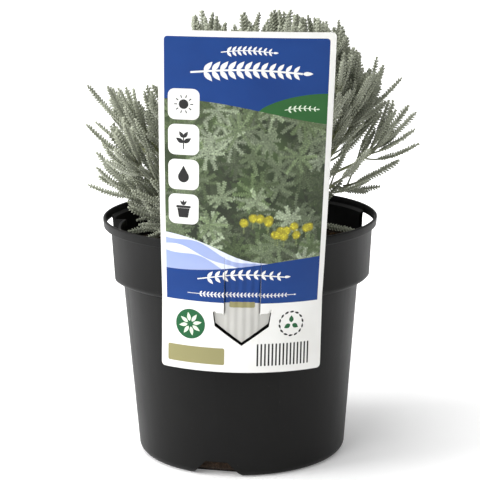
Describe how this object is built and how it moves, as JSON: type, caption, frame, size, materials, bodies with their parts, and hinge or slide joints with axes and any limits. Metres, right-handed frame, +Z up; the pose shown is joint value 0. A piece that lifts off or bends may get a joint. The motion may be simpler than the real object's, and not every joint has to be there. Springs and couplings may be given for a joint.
{
  "type": "potted cotton lavender",
  "caption": "Bushy silver-grey cotton lavender of upright leafy stems in a black round nursery pot, with a tall bent plastic plant label hung on the front of the rim.",
  "frame": {"origin": "centre of the flat underside of the pot, on the ground", "axes": "+Z up along the pot's axis; the label hangs on the -Y side (front); +X is to the right when the label is faced"},
  "size_m": [0.1682, 0.1598, 0.2254],
  "materials": {
    "pot_plastic": "black moulded polypropylene with a faint sheen",
    "potting_mix": "dark bark potting mix, rough",
    "label_sheet": "printed white plastic sheet, satin",
    "silver_leaf": "felted silver-grey leaf and stem"
  },
  "bodies": {
    "root": {"pot": "pot_plastic", "soil": "potting_mix", "label": "label_sheet", "leafy_stem_01": "silver_leaf", "leafy_stem_02": "silver_leaf", "leafy_stem_03": "silver_leaf", "leafy_stem_04": "silver_leaf", "leafy_stem_05": "silver_leaf", "leafy_stem_06": "silver_leaf", "leafy_stem_07": "silver_leaf", "leafy_stem_08": "silver_leaf", "leafy_stem_09": "silver_leaf", "leafy_stem_10": "silver_leaf", "leafy_stem_11": "silver_leaf", "leafy_stem_12": "silver_leaf", "leafy_stem_13": "silver_leaf", "leafy_stem_14": "silver_leaf", "leafy_stem_15": "silver_leaf", "leafy_stem_16": "silver_leaf"}
  },
  "joints": []
}
